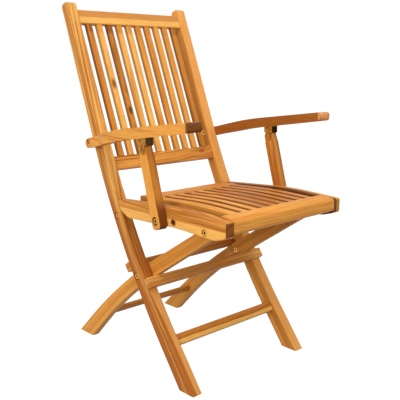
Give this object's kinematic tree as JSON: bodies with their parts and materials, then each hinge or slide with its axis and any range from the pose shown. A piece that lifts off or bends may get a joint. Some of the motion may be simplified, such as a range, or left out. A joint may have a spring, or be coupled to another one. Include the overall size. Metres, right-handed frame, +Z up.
{
  "type": "folding armchair",
  "caption": "Folding teak armchair with a slatted back and seat, crossed legs and arms on posts; the seat, arms and legs fold flat.",
  "frame": {"origin": "floor level, centre of the outer box seen from above", "axes": "+Z up, -Y towards the front of the chair, +X towards the sitter's left hand"},
  "size_m": [0.486, 0.6334, 0.9239],
  "materials": {
    "teak": "satin",
    "brass": "satin"
  },
  "bodies": {
    "back_frame": {"upright_left": "teak", "upright_right": "teak", "back_top_rail": "teak", "back_bottom_rail": "teak", "back_slat_01": "teak", "back_slat_02": "teak", "back_slat_03": "teak", "back_slat_04": "teak", "back_slat_05": "teak", "back_slat_06": "teak", "back_slat_07": "teak", "back_slat_08": "teak", "back_slat_09": "teak", "back_slat_10": "teak", "stop_board_front": "teak", "stop_board_rear": "teak", "front_stretcher": "teak", "seat_pivot_rod": "brass", "leg_pivot_bolts": "brass", "arm_pivot_bolts": "brass"},
    "rear_legs": {"rear_leg_left": "teak", "rear_leg_right": "teak", "rear_stretcher": "teak"},
    "seat": {"seat_side_rail_left": "teak", "seat_side_rail_right": "teak", "seat_front_rail": "teak", "seat_rear_rail": "teak", "seat_bearer_left": "teak", "seat_bearer_right": "teak", "seat_slat_1": "teak", "seat_slat_2": "teak", "seat_slat_3": "teak", "seat_slat_4": "teak", "seat_slat_5": "teak", "seat_slat_6": "teak", "seat_slat_7": "teak", "seat_slat_8": "teak", "seat_slat_9": "teak", "seat_hinge_plate_left": "brass", "seat_hinge_plate_right": "brass", "guide_strip_left": "teak", "guide_strip_right": "teak", "hinge_plate_screws": "brass", "seat_rail_bolts": "brass", "post_foot_bolts": "brass"},
    "arm_left": {"arm_left": "teak", "arm_clevis_left": "brass", "arm_clevis_pin_left": "brass"},
    "arm_right": {"arm_right": "teak", "arm_clevis_right": "brass", "arm_clevis_pin_right": "brass"},
    "post_left": {"arm_post_left": "teak"},
    "post_right": {"arm_post_right": "teak"}
  },
  "joints": [
    {"name": "rear_leg_fold", "type": "hinge", "parent": "back_frame", "child": "rear_legs", "pos_m": [0, -0.00475, 0.247], "axis": [-1, 0, 0], "range_deg": [0, 56]},
    {"name": "seat_fold", "type": "hinge", "parent": "back_frame", "child": "seat", "pos_m": [0, 0.07125, 0.3895], "axis": [1, 0, 0], "range_deg": [0, 36]},
    {"name": "arm_left_fold", "type": "hinge", "parent": "back_frame", "child": "arm_left", "pos_m": [-0.2146, 0.15625, 0.569], "axis": [1, 0, 0], "range_deg": [0, 31.5]},
    {"name": "post_left_fold", "type": "hinge", "parent": "arm_left", "child": "post_left", "pos_m": [-0.218, -0.06875, 0.571], "axis": [1, 0, 0], "range_deg": [-34.4, 0]},
    {"name": "arm_right_fold", "type": "hinge", "parent": "back_frame", "child": "arm_right", "pos_m": [0.2146, 0.15625, 0.569], "axis": [1, 0, 0], "range_deg": [0, 31.5]},
    {"name": "post_right_fold", "type": "hinge", "parent": "arm_right", "child": "post_right", "pos_m": [0.218, -0.06875, 0.571], "axis": [1, 0, 0], "range_deg": [-34.4, 0]}
  ],
  "couplings": [
    {"joint": "arm_left_fold", "follows": "seat_fold", "ratio": 0.855},
    {"joint": "post_left_fold", "follows": "seat_fold", "ratio": -0.934},
    {"joint": "arm_right_fold", "follows": "seat_fold", "ratio": 0.855},
    {"joint": "post_right_fold", "follows": "seat_fold", "ratio": -0.934}
  ]
}
